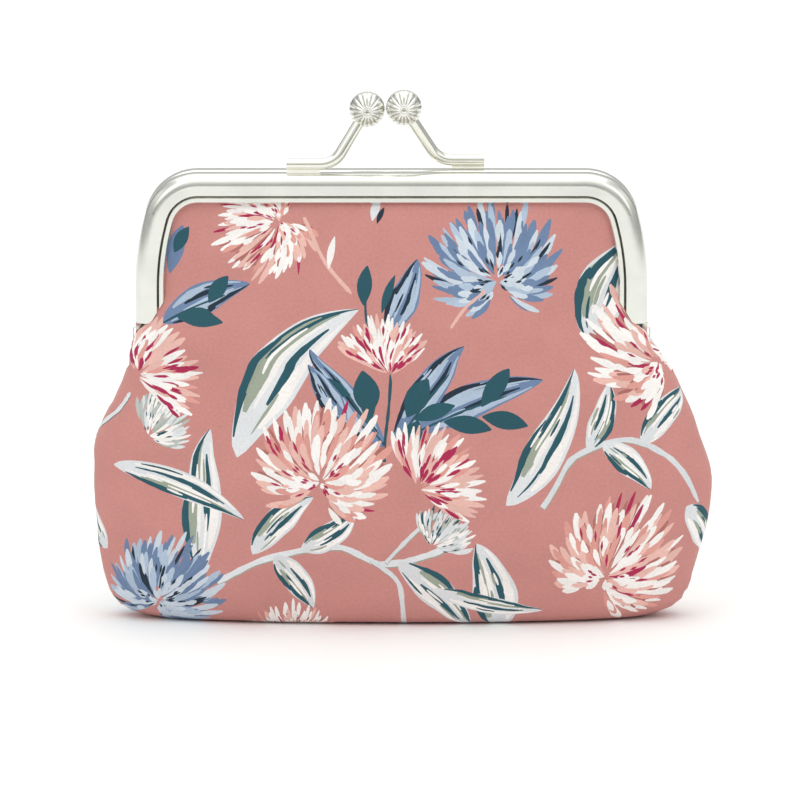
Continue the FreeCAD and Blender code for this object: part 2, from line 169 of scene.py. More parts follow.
def inner_level(level, inset):
    """The same level of a layer that lies further in."""
    height, depth, turn_x, turn_y, edge_x, edge_y = level
    gripped = min(max((height - SEWN_BELOW) / (GRIPPED_ABOVE - SEWN_BELOW), 0), 1)
    lift = inset * min(max(1 - height / BASE_LIFT_RANGE, 0), 1)
    narrower = inset * (1 - gripped)
    return (
        height + lift,
        max(depth - inset, LEAST_DEPTH),
        turn_x - narrower,
        max(turn_y - inset * (0.5 + 0.5 * gripped), LEAST_TURN),
        edge_x - narrower,
        max(edge_y - inset * gripped, 0),
    )


def half_section(depth, turn_x, turn_y, edge_x, edge_y, count):
    """One side of a level section, evenly spaced from the middle to the edge, and its length."""
    angle = np.linspace(0, math.pi / 2, FRONT_POINTS)
    front_x = turn_x * np.sin(angle) ** FULLNESS_X
    front_y = turn_y + (depth - turn_y) * np.cos(angle) ** FULLNESS_Y
    k = np.linspace(0, 1, RETURN_POINTS)[1:]
    bend_x = turn_x + RETURN_OUT
    bend_y = edge_y + RETURN_SHARE * (turn_y - edge_y)
    back_x = turn_x * (1 - k) ** 2 + 2 * bend_x * k * (1 - k) + edge_x * k**2
    back_y = turn_y * (1 - k) ** 2 + 2 * bend_y * k * (1 - k) + edge_y * k**2
    x, y = np.concatenate([front_x, back_x]), np.concatenate([front_y, back_y])
    length = np.concatenate([[0], np.cumsum(np.hypot(np.diff(x), np.diff(y)))])
    even = np.linspace(0, length[-1], count)
    return np.interp(even, length, x), np.interp(even, length, y), length[-1]


def cloth_grid(inset=0.0):
    """A layer's points by row and column, each row's half length, and the rows' distance from the top."""
    levels = np.array([inner_level(level, inset) for level in CLOTH_LEVELS])
    down = np.hypot(np.diff(levels[:, 0]), np.diff(levels[:, 1]))
    distance = np.concatenate([[0], np.cumsum(np.maximum(down, LEAST_STEP))])
    rows = np.linspace(0, distance[-1], ROWS)
    values = [smooth_through(rows, distance, levels[:, i]) for i in range(levels.shape[1])]
    points, half_lengths = [], []
    side = COLUMNS // 2 + 1
    for height, *shape in zip(*values):
        x, y, length = half_section(*shape, side)
        right = np.stack([x, -y, np.full(side, height)], 1)
        left = right[:0:-1] * (-1, 1, 1)
        sag = smooth_through(min(height, SAG[-1][0]), *zip(*SAG))
        points.append(np.concatenate([left, right]) + (sag, 0, 0))
        half_lengths.append(length)
    return np.array(points), np.array(half_lengths), rows


def unit(vectors):
    return vectors / np.maximum(np.linalg.norm(vectors, axis=-1, keepdims=True), TINY)


def grid_normals(points):
    """Unit normals of a grid of points, facing the front."""
    across, along = np.gradient(points, axis=1), np.gradient(points, axis=0)
    return unit(np.cross(along, across))


def grid_faces(rows, columns):
    corners = [row * columns + column for row in range(rows - 1) for column in range(columns - 1)]
    return [(corner, corner + columns, corner + columns + 1, corner + 1) for corner in corners]


# ---- Cloth simulation ----
SIM_SCALE = 0.01  # the solver works at this many metres to a millimetre, ten times full size
SWELL_LIMIT = 2.0  # a point moves no further than this, in millimetres
SIM_FRAMES = 20
FREE_MARGIN = 5.0  # the cloth is held at its edges and is free this far in from them
SIDE_HELD = 3.0  # width of the held strip at each side
HELD_ABOVE = 70.0  # the cloth is held above this height
CLOTH_SETTINGS = {
    "quality": 6, "mass": 0.2, "tension_stiffness": 12, "compression_stiffness": 12,
    "shear_stiffness": 4, "bending_stiffness": 1.2, "vertex_group_mass": "held", "pin_stiffness": 1.0,
    "shrink_min": -0.01, "use_pressure": True, "uniform_pressure_force": 0.8,
}


def swollen(points, half_lengths):
    """How far a light padding pushes each point of the gripped and sewn cloth, in millimetres."""
    rows, columns, _ = points.shape
    mesh = bpy.data.meshes.new("swelling_cloth")
    mesh.from_pydata((points.reshape(-1, 3) * SIM_SCALE).tolist(), [], grid_faces(rows, columns))
    cloth = add_object("swelling_cloth", mesh)
    from_side = (1 - np.abs(ACROSS)) * half_lengths[:, None]
    height = points[:, :, 2]
    from_top = np.maximum(HELD_ABOVE - height, 0)
    room = np.minimum(np.minimum(from_side - SIDE_HELD, from_top), height)
    held = 1 - np.clip(room / FREE_MARGIN, 0, 1)
    group = cloth.vertex_groups.new(name="held")
    for index, weight in enumerate(held.ravel()):
        group.add([index], float(weight), "REPLACE")
    modifier = cloth.modifiers.new("Cloth", "CLOTH")
    settings = modifier.settings
    for key, value in CLOTH_SETTINGS.items():
        setattr(settings, key, value)
    settings.effector_weights.gravity = 0
    modifier.collision_settings.use_collision = False
    scene = bpy.context.scene
    for number in range(1, SIM_FRAMES + 1):
        scene.frame_set(number)
    settled = cloth.evaluated_get(bpy.context.evaluated_depsgraph_get())
    after = np.empty(rows * columns * 3)
    settled.data.vertices.foreach_get("co", after)
    scene.frame_set(1)
    bpy.data.objects.remove(cloth)
    bpy.data.meshes.remove(mesh)
    moved = after.reshape(rows, columns, 3) / SIM_SCALE - points
    distance = np.linalg.norm(moved, axis=2, keepdims=True)
    moved *= np.minimum(1, SWELL_LIMIT / np.maximum(distance, TINY))
    return moved * (1 - held[:, :, None])


# ---- Brush strokes of the print ----
# Strokes are outlines on the flat cloth, in millimetres: s across and h up.
def turned(vector, degrees):
    c, s = math.cos(math.radians(degrees)), math.sin(math.radians(degrees))
    return np.array([vector[0] * c - vector[1] * s, vector[0] * s + vector[1] * c])


def curve_points(start, control, end, count):
    k = np.linspace(0, 1, count)[:, None]
    return (1 - k) ** 2 * start + 2 * k * (1 - k) * control + k**2 * end


def bent(start, end, bend, count):
    """A curve from start to end whose control point is off to the left, by bend times its length."""
    start, end = np.array(start, float), np.array(end, float)
    return curve_points(start, (start + end) / 2 + turned(end - start, 90) * bend, end, count)


def ribbon(spine, widths):
    """The outline of a stroke along a spine, with its half width at each point."""
    along = unit(np.gradient(spine, axis=0))
    across = np.stack([-along[:, 1], along[:, 0]], 1) * np.asarray(widths)[:, None]
    return np.concatenate([spine + across, (spine - across)[::-1]])


def anticlockwise(outline):
    x, y = outline[:, 0], outline[:, 1]
    area = np.dot(x, np.roll(y, -1)) - np.dot(y, np.roll(x, -1))
    return outline if area > 0 else outline[::-1]


ROUGH = 0.12  # how much a stroke's width varies from point to point
BRUSH_PROFILE = (0.12, 0.45, 0.72, 0.92, 1.0, 0.96)  # a brush stroke's width before its far end
LEAF_POINTS = 25
# A leaf's streaks: begin and end along it, offset (positive on its shaded side) and width as shares
# of its half width, and colour
LEAF_STREAKS = (
    (0.20, 0.92, 0.50, 0.34, "mid"),
    (0.10, 0.62, 0.84, 0.17, "dark"),
    (0.50, 1.00, 0.66, 0.20, "dark"),
    (0.30, 0.86, -0.28, 0.15, "dark"),
    (0.16, 0.62, -0.62, 0.22, "light"),
    (0.44, 0.92, -0.72, 0.13, "light"),
    (0.24, 0.84, 0.14, 0.11, "light"),
    (0.40, 0.76, 0.46, 0.07, "light"),
)
LEAF_FLECKS = 6
LEAFLET_POINTS = 9
LEAFLET_BEND = 0.05
CUP_SPREAD = 150.0  # degrees on each side of a bloom's crown that its petals cover
PETAL_ALONG = (0.0, 0.15, 0.4, 0.7, 0.88, 1.0)
PETAL_PROFILE = (0.15, 0.5, 0.9, 1.0, 0.8, 0.3)
PETAL_STEPS = 24
# Rings of petals as shares of the bloom's radius, and how many petals each has
BLOOM_RINGS = ((1.0, 31), (0.86, 28), (0.72, 24), (0.58, 19), (0.44, 13))
BLOOM_LIGHTS = 22
BLOOM_DARKS = 26
FAN_RINGS = ((1.0, 23), (0.82, 19), (0.62, 14))
FAN_DARKS = 34
FAN_LIGHTS = 8


class Print:
    """The strokes of one printed cloth, in the order in which they are painted."""

    def __init__(self, seed):
        self.chance = random.Random(seed)
        self.strokes = []

    def near(self, value, share):
        return value * (1 + self.chance.uniform(-share, share))

    def paint(self, outline, colour, spread=0.05):
        tone = self.near(1, spread)
        self.strokes.append((anticlockwise(outline), tuple(min(c * tone, 1) for c in colour)))

    def brush(self, start, end, width, colour, bend=0.0, blunt=0.75):
        """One stroke with rounded ends that swells along its length. blunt is how full its far end is."""
        profile = (*BRUSH_PROFILE, blunt, 0.35 * blunt)
        spine = bent(start, end, bend, len(profile))
        widths = [self.near(width / 2 * share, ROUGH) for share in profile]
        self.paint(ribbon(spine, widths), colour)

    def stem(self, points, width, colour, shade=None):
        """A thin stem through the points, with a darker line along its lower side."""
        points = np.array(points, float)
        k = np.linspace(0, len(points) - 1, 7 * (len(points) - 1) + 1)
        knots = np.arange(len(points))
        spine = np.stack([smooth_through(k, knots, points[:, i]) for i in (0, 1)], 1)
        widths = [self.near(width / 2, 0.22) for _ in spine]
        widths[-1] *= 0.4
        if shade:
            offset = np.array([0.12, -0.30]) * width
            self.paint(ribbon(spine + offset, np.array(widths) * 0.8), shade)
        self.paint(ribbon(spine, widths), colour)

    def leaf(self, base, tip, width, bend=0.15, body=PALE, dark=TEAL, light=WHITE, mid=SAGE):
        """A curved leaf: a body with streaks and loose flecks along it."""
        spine = bent(base, tip, bend, LEAF_POINTS)
        k = np.linspace(0, 1, LEAF_POINTS)
        wave = 1 + 0.05 * np.sin(k * self.chance.uniform(9, 14) + self.chance.uniform(0, 6))
        half = (width / 2 * np.sin(math.pi * k**0.85) ** 0.8 + 0.1) * wave
        self.paint(ribbon(spine, half), body)
        normals = unit(np.stack([-np.gradient(spine[:, 1]), np.gradient(spine[:, 0])], 1))
        shaded = 1 if self.chance.random() < 0.5 else -1

        def streak(begin, finish, offset, share, colour):
            first, last = int(begin * LEAF_POINTS), int(finish * LEAF_POINTS)
            part = slice(first, last)
            line = spine[part] + normals[part] * (half[part] * offset)[:, None]
            taper = np.sin(math.pi * np.linspace(0.06, 0.94, last - first)) ** 0.7
            rough = np.array([self.near(1, ROUGH) for _ in taper])
            self.paint(ribbon(line, half[part] * share * taper * rough + 0.04), colour)

        colours = {"dark": dark, "light": light, "mid": mid}
        for begin, finish, offset, share, colour in LEAF_STREAKS:
            streak(begin, finish, shaded * offset, share, colours[colour])
        for _ in range(LEAF_FLECKS):
            begin = self.chance.uniform(0.08, 0.62)
            offset = self.chance.uniform(-0.85, 0.85)
            streak(begin, begin + self.chance.uniform(0.16, 0.32), offset, 0.06,
                   self.chance.choice([dark, light, mid]))

    def leaflet(self, base, tip, width, colour=TEAL):
        """A small leaf of one colour."""
        spine = bent(base, tip, LEAFLET_BEND, LEAFLET_POINTS)
        half = width / 2 * np.sin(math.pi * np.linspace(0.02, 0.98, LEAFLET_POINTS)) ** 0.9
        self.paint(ribbon(spine, half), colour)

    def bloom(self, centre, radius, facing, colours, shares, spread=CUP_SPREAD):
        """A half-open bloom seen from the side. Its petals run up from the base and bulge like a cup.

        facing is the way its crown points. colours are the petals' colours, the fourth for thin dark
        strokes, and last the shade between petals. shares is how common each petal colour is.
        """
        uniform = self.chance.uniform
        centre = np.array(centre, float)
        crown = turned((1, 0), facing)
        base = centre - crown * radius * 0.20
        dark, shade = colours[3:]

        def petal(angle, reach, begin, finish, width, colour):
            way = turned((1, 0), facing + angle)
            tip = centre + way * reach * (1 - 0.12 * (angle / CUP_SPREAD) ** 2)
            outwards = turned(way, 90) * math.sin(math.radians(angle))
            line = curve_points(base, (base + tip) / 2 + outwards * reach * 0.26, tip, PETAL_STEPS + 1)
            spine = line[int(begin * PETAL_STEPS):int(finish * PETAL_STEPS) + 1:2]
            profile = np.interp(np.linspace(0, 1, len(spine)), PETAL_ALONG, PETAL_PROFILE)
            self.paint(ribbon(spine, [self.near(width / 2 * share, ROUGH) for share in profile]), colour)

        for ring, petals in BLOOM_RINGS:
            count = max(round(petals * spread / CUP_SPREAD), 5)
            for i in range(count):
                angle = spread * (2 * (i + 0.5) / count - 1) + uniform(-4, 4)
                reach = radius * ring * self.near(1, 0.09)
                begin = uniform(0.0, 0.26) + 0.40 * ring**2
                colour = self.chance.choices(colours[:-1], shares)[0]
                width = self.near(radius * 0.092, 0.28) * (0.6 if colour is dark else 1)
                if self.chance.random() < 0.5:
                    beside = angle + self.chance.choice((-4, 4))
                    petal(beside, reach * 0.97, begin, 0.94, width * 0.8, shade)
                petal(angle, reach, begin, 1.0, width, colour)
        for _ in range(round(BLOOM_LIGHTS * spread / CUP_SPREAD)):
            angle = uniform(-spread, spread)
            begin = uniform(0.06, 0.6)
            reach = radius * uniform(0.5, 1.0)
            petal(angle, reach, begin, begin + 0.28, radius * 0.085, colours[0])
        for _ in range(round(BLOOM_DARKS * spread / CUP_SPREAD)):
            angle = uniform(-spread, spread)
            begin = uniform(0.1, 0.8)
            reach = radius * uniform(0.4, 1.0)
            petal(angle, reach, begin, begin + 0.16, radius * 0.042, dark)

    def fan(self, base, radius, facing, spread=60):
        """A thistle-like bloom: a fan of striped petals that open up from its base."""
        uniform = self.chance.uniform
        base = np.array(base, float)

        def petal(angle, begin, finish, width, colour):
            way = turned((1, 0), facing + angle)
            droop = radius * (1 - 0.12 * (angle / spread) ** 2)
            self.brush(base + way * droop * begin, base + way * droop * finish, width * radius, colour,
                       0.05 * angle / spread, uniform(0.6, 0.95))

        for ring, count in FAN_RINGS:
            for i in range(count):
                angle = spread * (2 * (i + 0.5) / count - 1) + uniform(-1.5, 1.5)
                colour = self.chance.choices([WHITE, BLUSH, ROSE], (5, 5, 2))[0]
                petal(angle, uniform(0.1, 0.45) * ring, self.near(ring, 0.07),
                      self.near(0.085, 0.2), colour)
        for _ in range(FAN_DARKS):
            angle = uniform(-spread, spread)
            begin = uniform(0.08, 0.7)
            petal(angle, begin, begin + uniform(0.16, 0.32), self.near(0.045, 0.3), MAGENTA)
        for _ in range(FAN_LIGHTS):
            angle = uniform(-spread * 0.8, spread * 0.8)
            begin = uniform(0.3, 0.6)
            petal(angle, begin, begin + uniform(0.2, 0.3), self.near(0.06, 0.3), WHITE)

    def sprig(self, base, tip, width, leaflets=2):
        """A slate leaf with dark leaflets on a stalk beside it."""
        base, tip = np.array(base, float), np.array(tip, float)
        self.leaf(base, tip, width, 0.12, *BLUE_LEAF)
        along = tip - base
        for i in range(leaflets):
            start = base + along * (0.25 + 0.28 * i)
            side = 28 if i % 2 else -32
            self.leaflet(start, start + turned(along, side) * 0.34, width * 0.55)
        self.stem([base, base + along * 0.4 + turned(along, 90) * 0.02, base + along * 0.72], 0.35, TEAL)


# A bloom's colours, and how common each petal colour is
PINKS = (WHITE, BLUSH, ROSE, MAGENTA, DUSK), (6, 4, 2, 1)
BLUES = (ICE, MIST, SLATE, NIGHT, SLATE), (3, 4, 5, 1)
PALES = (WHITE, PALE, ASH, TEAL, SAGE), (3, 6, 3, 1)
BLUE_LEAF = (SLATE, NIGHT, MIST, MIST)


def flower_print(seed, at):
    """The whole print. at turns a point as seen from the front into a point on the flat cloth."""
    art = Print(seed)

    def each(draw, *rows):
        """Draw a thing for each row: the x and z of its base and of its tip, then the rest."""
        for x, z, tip_x, tip_z, *rest in rows:
            draw(at(x, z), at(tip_x, tip_z), *rest)

    def stem(points, width, *colours):
        art.stem([at(*point) for point in points], width, *colours)

    # Tall curved leaves behind everything
    each(
        art.leaf,
        (-31.5, 9.0, -30.0, 33.5, 6.2, 0.10),
        (17.5, -1.5, 14.0, 14.5, 7.0, -0.16),
        (-25.5, 29.0, -5.5, 53.5, 8.2, 0.24),
        (33.5, 47.5, 41.0, 64.0, 9.0, 0.20),
        (19.0, 21.0, 30.0, 43.5, 6.2, -0.16),
        (-46.0, 26.5, -24.5, 18.5, 4.2, 0.14),
        (49.0, 19.5, 52.5, 10.0, 5.0, 0.12),
        (-47.5, 12.0, -50.5, 20.5, 3.4, 0.10),
    )

    # The long branch at the foot and its leaves
    branch = [(-29.0, 7.5), (-20.0, 12.0), (-9.5, 14.0), (-1.0, 10.8), (6.0, 12.5), (12.5, 15.5)]
    stem(branch, 1.0, PALE, SAGE)
    stem([(-3.5, 11.8), (1.5, 6.5), (2.6, -1.5)], 0.8, PALE, TEAL)
    stem([(-1.0, 11.0), (4.0, 16.5), (8.0, 20.0)], 0.7, PALE, SAGE)
    each(
        art.leaf,
        (-19.5, 12.2, -13.0, 3.0, 4.4, 0.12),
        (-23.0, 12.5, -13.0, 22.5, 4.6, 0.16),
        (-15.0, 13.5, -6.0, 19.5, 4.4, -0.12),
        (1.0, 11.0, 13.5, -0.5, 5.2, 0.14),
        (7.0, 6.5, 25.0, 2.5, 3.0, -0.10),
    )

    # The right branch
    stem([(25.0, 20.5), (30.5, 29.0), (38.5, 31.5), (45.5, 28.5), (51.0, 20.0)], 0.9, PALE, SAGE)
    each(
        art.leaf,
        (32.5, 30.0, 36.0, 41.0, 4.0, -0.12),
        (35.0, 31.0, 43.0, 23.0, 4.4, 0.14),
        (41.5, 30.5, 47.5, 39.0, 4.6, 0.12),
    )

    # Slate and teal bouquet in the middle
    each(
        art.sprig,
        (3.0, 33.0, 25.0, 41.8, 5.4),
        (-1.0, 31.0, -13.5, 47.0, 4.6),
        (0.5, 31.5, 12.0, 47.5, 4.8, 1),
    )
    each(
        art.leaf,
        (-1.0, 49.5, 4.3, 61.5, 4.6, -0.08, *BLUE_LEAF),
        (-7.5, 35.5, -14.0, 44.5, 3.6, 0.12, *BLUE_LEAF),
    )
    for x, z, width, facing in ((-3.6, 36.4, 4.4, 95), (2.6, 36.0, 3.8, 60), (2.4, 28.4, 4.0, 75)):
        start = np.array(at(x, z))
        art.leaflet(start, start + turned((7.2, 0), facing), width)
    each(
        art.leaflet,
        (15.0, 36.0, 22.5, 34.3, 3.0),
        (-4.6, 54.2, -4.0, 60.5, 2.5),
        (-1.6, 53.0, 0.6, 59.0, 1.4),
    )
    stem([(-2.2, 49.0), (-4.2, 52.0), (-4.4, 56.0)], 0.45, TEAL)
    stem([(-1.2, 28.5), (-0.6, 36.0), (-0.2, 43.0)], 0.5, TEAL)

    # Blooms, and two fans over pale calyxes
    for x, z, radius, facing, kind in (
        (-11.5, 27.5, 12.0, 75, PINKS),
        (17.0, 60.5, 11.6, 100, BLUES),
        (37.0, 10.5, 12.4, 60, PINKS),
        (-38.0, 5.5, 10.6, 65, BLUES),
        (43.0, 46.0, 12.6, 115, PINKS),
        (-20.5, 66.5, 9.2, 205, PINKS),
        (-17.0, -2.0, 7.4, 90, PINKS),
    ):
        art.bloom(at(x, z), radius, facing, *kind)
    art.fan(at(-0.3, 42.8), 9.6, 90)
    art.bloom(at(7.6, 15.1), 6.2, 55, *PALES, spread=80)
    art.fan(at(4.2, 23.8), 11.6, 38, 74)
    art.bloom(at(-39.4, 32.9), 6.4, 50, *PALES, spread=80)
    art.fan(at(-42.6, 41.4), 12.2, 32, 72)

    # Loose sprigs at the top and left
    art.sprig(at(-38.0, 50.5), at(-23.5, 57.5), 4.8)
    each(
        art.leaflet,
        (-35.5, 51.5, -28.0, 51.0, 2.8),
        (-36.8, 58.5, -34.6, 66.5, 3.2, SLATE),
        (-36.0, 62.0, -33.6, 66.3, 2.2, TEAL),
    )
    stem([(-14.5, 68.0), (-11.0, 61.0), (-6.6, 56.0)], 0.6, BLUSH)
    art.leaflet(at(-10.4, 60.0), at(-9.4, 65.0), 1.2, WHITE)
    stem([(15.5, 56.5), (12.0, 53.5), (9.8, 50.5)], 0.5, BLUSH)
    each(
        art.leaflet,
        (-3.2, 67.5, -2.0, 71.0, 1.5, PALE),
        (-2.4, 67.0, -1.2, 69.6, 0.9, NIGHT),
    )
    stem([(-50.0, 31.0), (-45.5, 35.5), (-43.5, 38.5)], 0.7, PALE, TEAL)
    return art.strokes


# ---- Meshes ----
def add_object(name, mesh):
    piece = bpy.data.objects.new(name, mesh)
    bpy.context.scene.collection.objects.link(piece)
    return piece


def smooth_mesh(name, vertices, faces):
    """A smoothly shaded mesh from vertices in metres."""
    mesh = bpy.data.meshes.new(name)
    mesh.from_pydata(vertices, [], faces)
    mesh.polygons.foreach_set("use_smooth", [True] * len(mesh.polygons))
    return mesh


def tube_faces(first, rings, around):
    """Faces of a tube that closes to a point at each end. Its vertices run from first to the other."""
    last = first + 1 + rings * around

    def ring(i, j):
        return first + 1 + i * around + j % around

    faces = []
    for j in range(around):
        faces.append((first, ring(0, j), ring(0, j + 1)))
        faces.append((last, ring(rings - 1, j + 1), ring(rings - 1, j)))
        for i in range(rings - 1):
            faces.append((ring(i, j), ring(i + 1, j), ring(i + 1, j + 1), ring(i, j + 1)))
    return faces


def sampled(grid, row, column):
    """Catmull-Rom samples of a grid of points at fractional rows and columns."""
    rows, columns, _ = grid.shape
    row, column = np.clip(row, 0, rows - 1), np.clip(column, 0, columns - 1)
    r0 = np.clip(np.floor(row).astype(int), 0, rows - 2)
    c0 = np.clip(np.floor(column).astype(int), 0, columns - 2)

    def weights(k):
        return [(-k + 2 * k**2 - k**3) / 2, (2 - 5 * k**2 + 3 * k**3) / 2,
                (k + 4 * k**2 - 3 * k**3) / 2, (k**3 - k**2) / 2]

    total = np.zeros((len(row), 3))
    for i, by_row in enumerate(weights(row - r0)):
        ri = np.clip(r0 + i - 1, 0, rows - 1)
        for j, by_column in enumerate(weights(column - c0)):
            ci = np.clip(c0 + j - 1, 0, columns - 1)
            total += grid[ri, ci] * (by_row * by_column)[:, None]
    return total


BASE_HEIGHT = 0.2  # where the front ends and the print goes on under the base
EDGE_GAP = 0.3  # from the cloth's sides to the points between strokes
MERGE_DISTANCE = 1e-5


def printed_panel(name, grid, half_lengths, rows, seed, mirrored):
    """The outer cloth of one side: every stroke of the print is its own patch of the mesh."""
    normals = grid_normals(grid)
    row_numbers = np.arange(ROWS)
    flat_s = ACROSS * half_lengths[:, None]

    def at(x, z):
        if z <= 0:
            row = np.argmin(np.abs(grid[:, COLUMNS // 2, 2] - BASE_HEIGHT))
            column = np.argmin(np.abs(grid[row, :, 0] - x))
            return flat_s[row, column], z - rows[row]
        miss = (grid[:, :, 0] - x) ** 2 + (grid[:, :, 2] - z) ** 2
        row, column = np.unravel_index(np.argmin(miss), miss.shape)
        dx, dz = x - grid[row, column, 0], z - grid[row, column, 2]
        return flat_s[row, column] + dx, dz - rows[row]

    right, left = np.stack([half_lengths, -rows], 1), np.stack([-half_lengths, -rows], 1)
    strokes = [(anticlockwise(np.concatenate([right, left[::-1]])), GROUND)] + flower_print(seed, at)
    points, faces = [], []
    for shape, _ in strokes:
        faces.append(list(range(len(points), len(points) + len(shape))))
        points.extend(Vector((s, h)) for s, h in shape)
    widest = half_lengths.max()
    for h in np.arange(-rows[-1] + PRINT_CELL / 2, 0, PRINT_CELL):
        reach = np.interp(-h, rows, half_lengths) - EDGE_GAP
        for s in np.arange(-widest, widest, PRINT_CELL):
            if abs(s) < reach:
                points.append(Vector((s, h)))
    flat, _, triangles, _, _, owners = delaunay_2d_cdt(points, [], faces, 1, MERGE_DISTANCE, True)
    flat = np.array([tuple(p) for p in flat])
    kept = [i for i, owner in enumerate(owners) if 0 in owner]
    row = np.interp(-flat[:, 1], rows, row_numbers)
    reach = np.interp(row, row_numbers, half_lengths)
    column = (np.clip(flat[:, 0] / reach, -1, 1) + 1) / 2 * (COLUMNS - 1)
    places, facing = sampled(grid, row, column), unit(sampled(normals, row, column))
    if mirrored:
        places, facing = places * (1, -1, 1), facing * (1, -1, 1)
        triangles = [corners[::-1] for corners in triangles]
    used = sorted({index for i in kept for index in triangles[i]})
    new_index = {old: new for new, old in enumerate(used)}
    patches = [[new_index[v] for v in triangles[i]] for i in kept]
    mesh = smooth_mesh(name, (places[used] * MM).tolist(), patches)
    paint = mesh.color_attributes.new("print", "FLOAT_COLOR", "CORNER")
    colours = np.array([strokes[max(owners[i])][1] + (1.0,) for i in kept], np.float32)
    paint.data.foreach_set("color", np.repeat(colours, 3, axis=0).ravel())
    threads = mesh.attributes.new("threads", "FLOAT_VECTOR", "POINT")
    on_cloth = np.concatenate([flat[used], np.zeros((len(used), 1))], 1)
    threads.data.foreach_set("vector", on_cloth.astype(np.float32).ravel())
    mesh.normals_split_custom_set_from_vertices(facing[used].tolist())
    return add_object(name, mesh)


def layer_sheet(name, grid, mirrored, thickness=0.0):
    """An inner layer as a grid, closed to a solid when it has a thickness."""
    rows, columns, _ = grid.shape
    outer = grid.reshape(-1, 3)
    faces = grid_faces(rows, columns)
    points = outer
    if thickness:
        inner = (grid - grid_normals(grid) * thickness).reshape(-1, 3)
        points = np.concatenate([outer, inner])
        count = len(outer)
        faces = faces + [tuple(count + i for i in reversed(face)) for face in faces]
        rim = list(range(columns)) + [r * columns + columns - 1 for r in range(1, rows)]
        rim += [(rows - 1) * columns + c for c in range(columns - 2, -1, -1)]
        rim += [r * columns for r in range(rows - 2, 0, -1)]
        for a, b in zip(rim, rim[1:] + rim[:1]):
            faces.append((a, b, count + b, count + a))
    if mirrored:
        points = points * (1, -1, 1)
        faces = [face[::-1] for face in faces]
    return add_object(name, smooth_mesh(name, (points * MM).tolist(), faces))


STITCH_LENGTH = 1.7
STITCH_GAP = 0.6
STITCH_LIFT = 0.3  # how far its middle stands out, as a share of its width
STITCH_AROUND = 8
STITCH_ALONG = 7


def sewn_seam(name, points, out, width, node):
    """The thread of a seam: short raised stitches along a line, each a small rounded bead."""
    out = np.array(out)
    travelled = np.concatenate([[0], np.cumsum(np.linalg.norm(np.diff(points, axis=0), axis=1))])
    count = int(travelled[-1] // (STITCH_LENGTH + STITCH_GAP))
    vertices, faces = [], []
    around, along = STITCH_AROUND, STITCH_ALONG
    for number in range(count):
        begin = number * (STITCH_LENGTH + STITCH_GAP) + STITCH_GAP / 2
        spots = begin + STITCH_LENGTH * np.linspace(0, 1, along)
        spine = np.stack([np.interp(spots, travelled, points[:, i]) for i in range(3)], 1)
        side = np.cross(unit(np.gradient(spine, axis=0)), out)
        first = len(vertices)
        for i in range(along):
            share = math.sin(math.pi * i / (along - 1))
            radius = width / 2 * max(share, 0.0) ** 0.5
            lift = width * STITCH_LIFT * share
            if i in (0, along - 1):
                vertices.append(tuple(spine[i]))
                continue
            for j in range(around):
                angle = 2 * math.pi * j / around
                vertices.append(tuple(spine[i] + out * (lift + radius * math.cos(angle))
                                      + side[i] * radius * math.sin(angle)))
        # These rings go round the other way, so each face is turned over
        faces += [(face[0], *face[:0:-1]) for face in tube_faces(first, along - 2, around)]
    vertices = [(x * MM, y * MM, z * MM) for x, y, z in vertices]
    seam = add_object(name, smooth_mesh(name, vertices, faces))
    dress(seam, THREAD)
    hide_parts(node)
    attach(seam, "pouch")


FLUTES = 18
FLUTE_DEPTH = 0.13
FLUTE_START = 0.8  # the flutes reach their depth this far out from the dimple
FLUTE_FADE = 0.75  # and lose this share of it at the ball's equator
FLUTE_POINTS = 10
BALL_LEVELS = 64
DIMPLE_RADIUS = 0.5
DIMPLE_DEPTH = 0.35


def fluted_ball(name, node):
    """A clasp ball pressed with radial flutes that meet in a small dimple, front and back."""
    low, high = millimetres(node)
    radius = (high[0] - low[0]) / 2
    centre = [(low[0] + high[0]) / 2, (low[1] + high[1]) / 2, high[2] - radius]
    around, along = FLUTES * FLUTE_POINTS, BALL_LEVELS
    # hollows is how deep each point lies in a flute or the dimple; the ball's metal is darkened there as
    # painted shade
    vertices, hollows = [], []
    for i in range(along + 1):
        polar = math.pi * i / along
        if i in (0, along):
            vertices.append((0, -math.cos(polar) * (radius - DIMPLE_DEPTH), 0))
            hollows.append(1.0)
            continue
        for j in range(around):
            angle = 2 * math.pi * j / around
            from_axis = radius * math.sin(polar)
            flute = 0.5 - 0.5 * math.cos(FLUTES * angle)
            fade = min(max((from_axis - DIMPLE_RADIUS) / FLUTE_START, 0), 1)
            fade *= 1 - FLUTE_FADE * math.sin(polar) ** 8
            reach = radius - FLUTE_DEPTH * flute * fade
            hollows.append(flute**2 * fade)
            if from_axis < DIMPLE_RADIUS:
                sunk = (1 - (from_axis / DIMPLE_RADIUS) ** 2) ** 0.6
                reach -= DIMPLE_DEPTH * sunk
                hollows[-1] = sunk
            vertices.append((reach * math.sin(polar) * math.cos(angle), -reach * math.cos(polar),
                             reach * math.sin(polar) * math.sin(angle)))
    vertices = [tuple((c + v) * MM for c, v in zip(centre, vertex)) for vertex in vertices]
    mesh = smooth_mesh(name, vertices, tube_faces(0, along - 1, around))
    mesh.attributes.new("hollow", "FLOAT", "POINT").data.foreach_set("value", hollows)
    return add_object(name, mesh)


